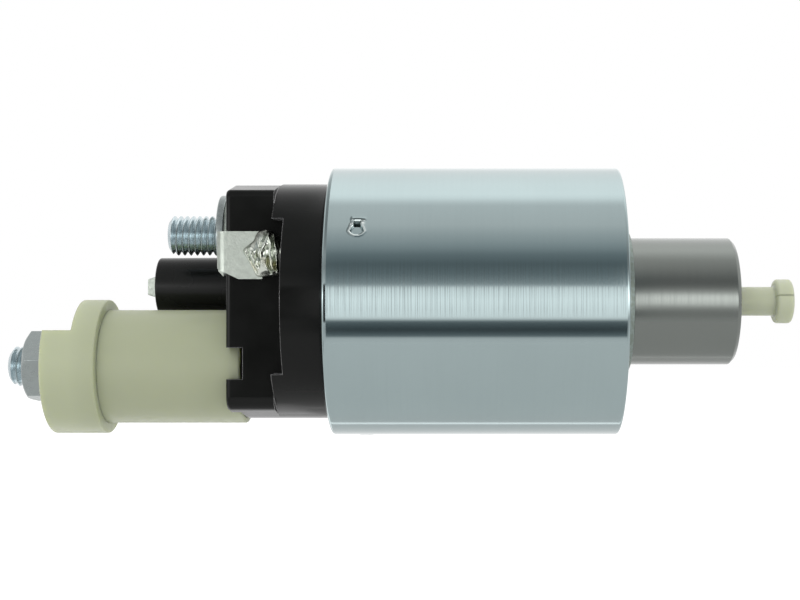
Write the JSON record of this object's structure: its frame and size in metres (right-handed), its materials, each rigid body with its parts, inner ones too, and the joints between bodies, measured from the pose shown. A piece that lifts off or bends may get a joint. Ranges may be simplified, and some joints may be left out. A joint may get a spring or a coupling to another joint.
{
  "type": "starter solenoid",
  "caption": "Starter solenoid: turned steel case, sliding plunger with a nylon hook rod, moulded terminal cap with a motor stud, a signal blade and a sleeved battery post.",
  "frame": {"origin": "centre of the case's mounting face, on the plunger's axis", "axes": "+X along the plunger's axis, out of the case towards the hook; +Z from the battery stud towards the motor stud"},
  "size_m": [0.1555, 0.053, 0.053],
  "materials": {
    "case_steel": "turned, bright zinc plate",
    "brass": "drawn",
    "bobbin_plastic": "moulded, glass filled",
    "winding_copper": "enamelled copper wire",
    "wrap_paper": "insulating paper",
    "core_steel": "bare mild steel",
    "seal_rubber": "matt",
    "cap_phenolic": "moulded, glossy black",
    "stud_steel": "bright zinc plate",
    "terminal_plate": "tinned strip",
    "zinc_steel": "zinc plate",
    "solder": "bright solder",
    "nylon": "natural translucent nylon",
    "plunger_steel": "ground bare steel",
    "spring_steel": "spring wire",
    "contact_copper": "bare copper"
  },
  "bodies": {
    "housing": {"case": "case_steel", "guide_sleeve": "brass", "bobbin": "bobbin_plastic", "pull_in_winding": "winding_copper", "hold_in_winding": "winding_copper", "winding_wrap": "wrap_paper", "core_plate": "core_steel", "fixed_core": "core_steel", "cap_gasket": "seal_rubber", "terminal_cap": "cap_phenolic", "motor_stud": "stud_steel", "battery_stud": "stud_steel", "stud_seals": "seal_rubber", "motor_terminal_plate": "terminal_plate", "motor_washer": "zinc_steel", "solder_joint": "solder", "pull_in_lead": "winding_copper", "signal_lead": "winding_copper", "ground_lead": "winding_copper", "lead_insulators": "wrap_paper", "signal_blade": "terminal_plate", "insulating_sleeve": "nylon", "battery_bush": "zinc_steel", "battery_nut": "zinc_steel", "return_spring": "spring_steel", "contact_return_spring": "spring_steel"},
    "plunger": {"plunger": "plunger_steel", "plunger_plug": "plunger_steel", "drive_spring": "spring_steel"},
    "hook": {"hook_rod": "nylon", "rod_clip": "spring_steel", "drive_spring_seat": "zinc_steel"},
    "contact_rod": {"contact_rod": "plunger_steel", "contact_clip": "spring_steel", "contact_spring": "spring_steel"},
    "contact_disc": {"contact_disc": "contact_copper", "disc_bush": "bobbin_plastic", "disc_washer": "bobbin_plastic"}
  },
  "joints": [
    {"name": "plunger_slide", "type": "slide", "parent": "housing", "child": "plunger", "axis": [1, 0, 0], "range_m": [-0.01, 0], "stiffness_N_per_m": 900, "springref_m": 0.006, "deforming": ["return_spring"]},
    {"name": "hook_slide", "type": "slide", "parent": "plunger", "child": "hook", "axis": [1, 0, 0], "range_m": [0, 0.005], "stiffness_N_per_m": 6000, "springref_m": -0.004, "deforming": ["drive_spring"]},
    {"name": "contact_rod_slide", "type": "slide", "parent": "housing", "child": "contact_rod", "axis": [1, 0, 0], "range_m": [-0.0025, 0], "deforming": ["contact_return_spring"]},
    {"name": "contact_disc_slide", "type": "slide", "parent": "contact_rod", "child": "contact_disc", "axis": [1, 0, 0], "range_m": [0, 0.0004], "deforming": ["contact_spring"]}
  ],
  "couplings": [
    {"joint": "contact_rod_slide", "follows": "plunger_slide", "ratio": 0.25},
    {"joint": "contact_disc_slide", "follows": "plunger_slide", "ratio": -0.04}
  ]
}
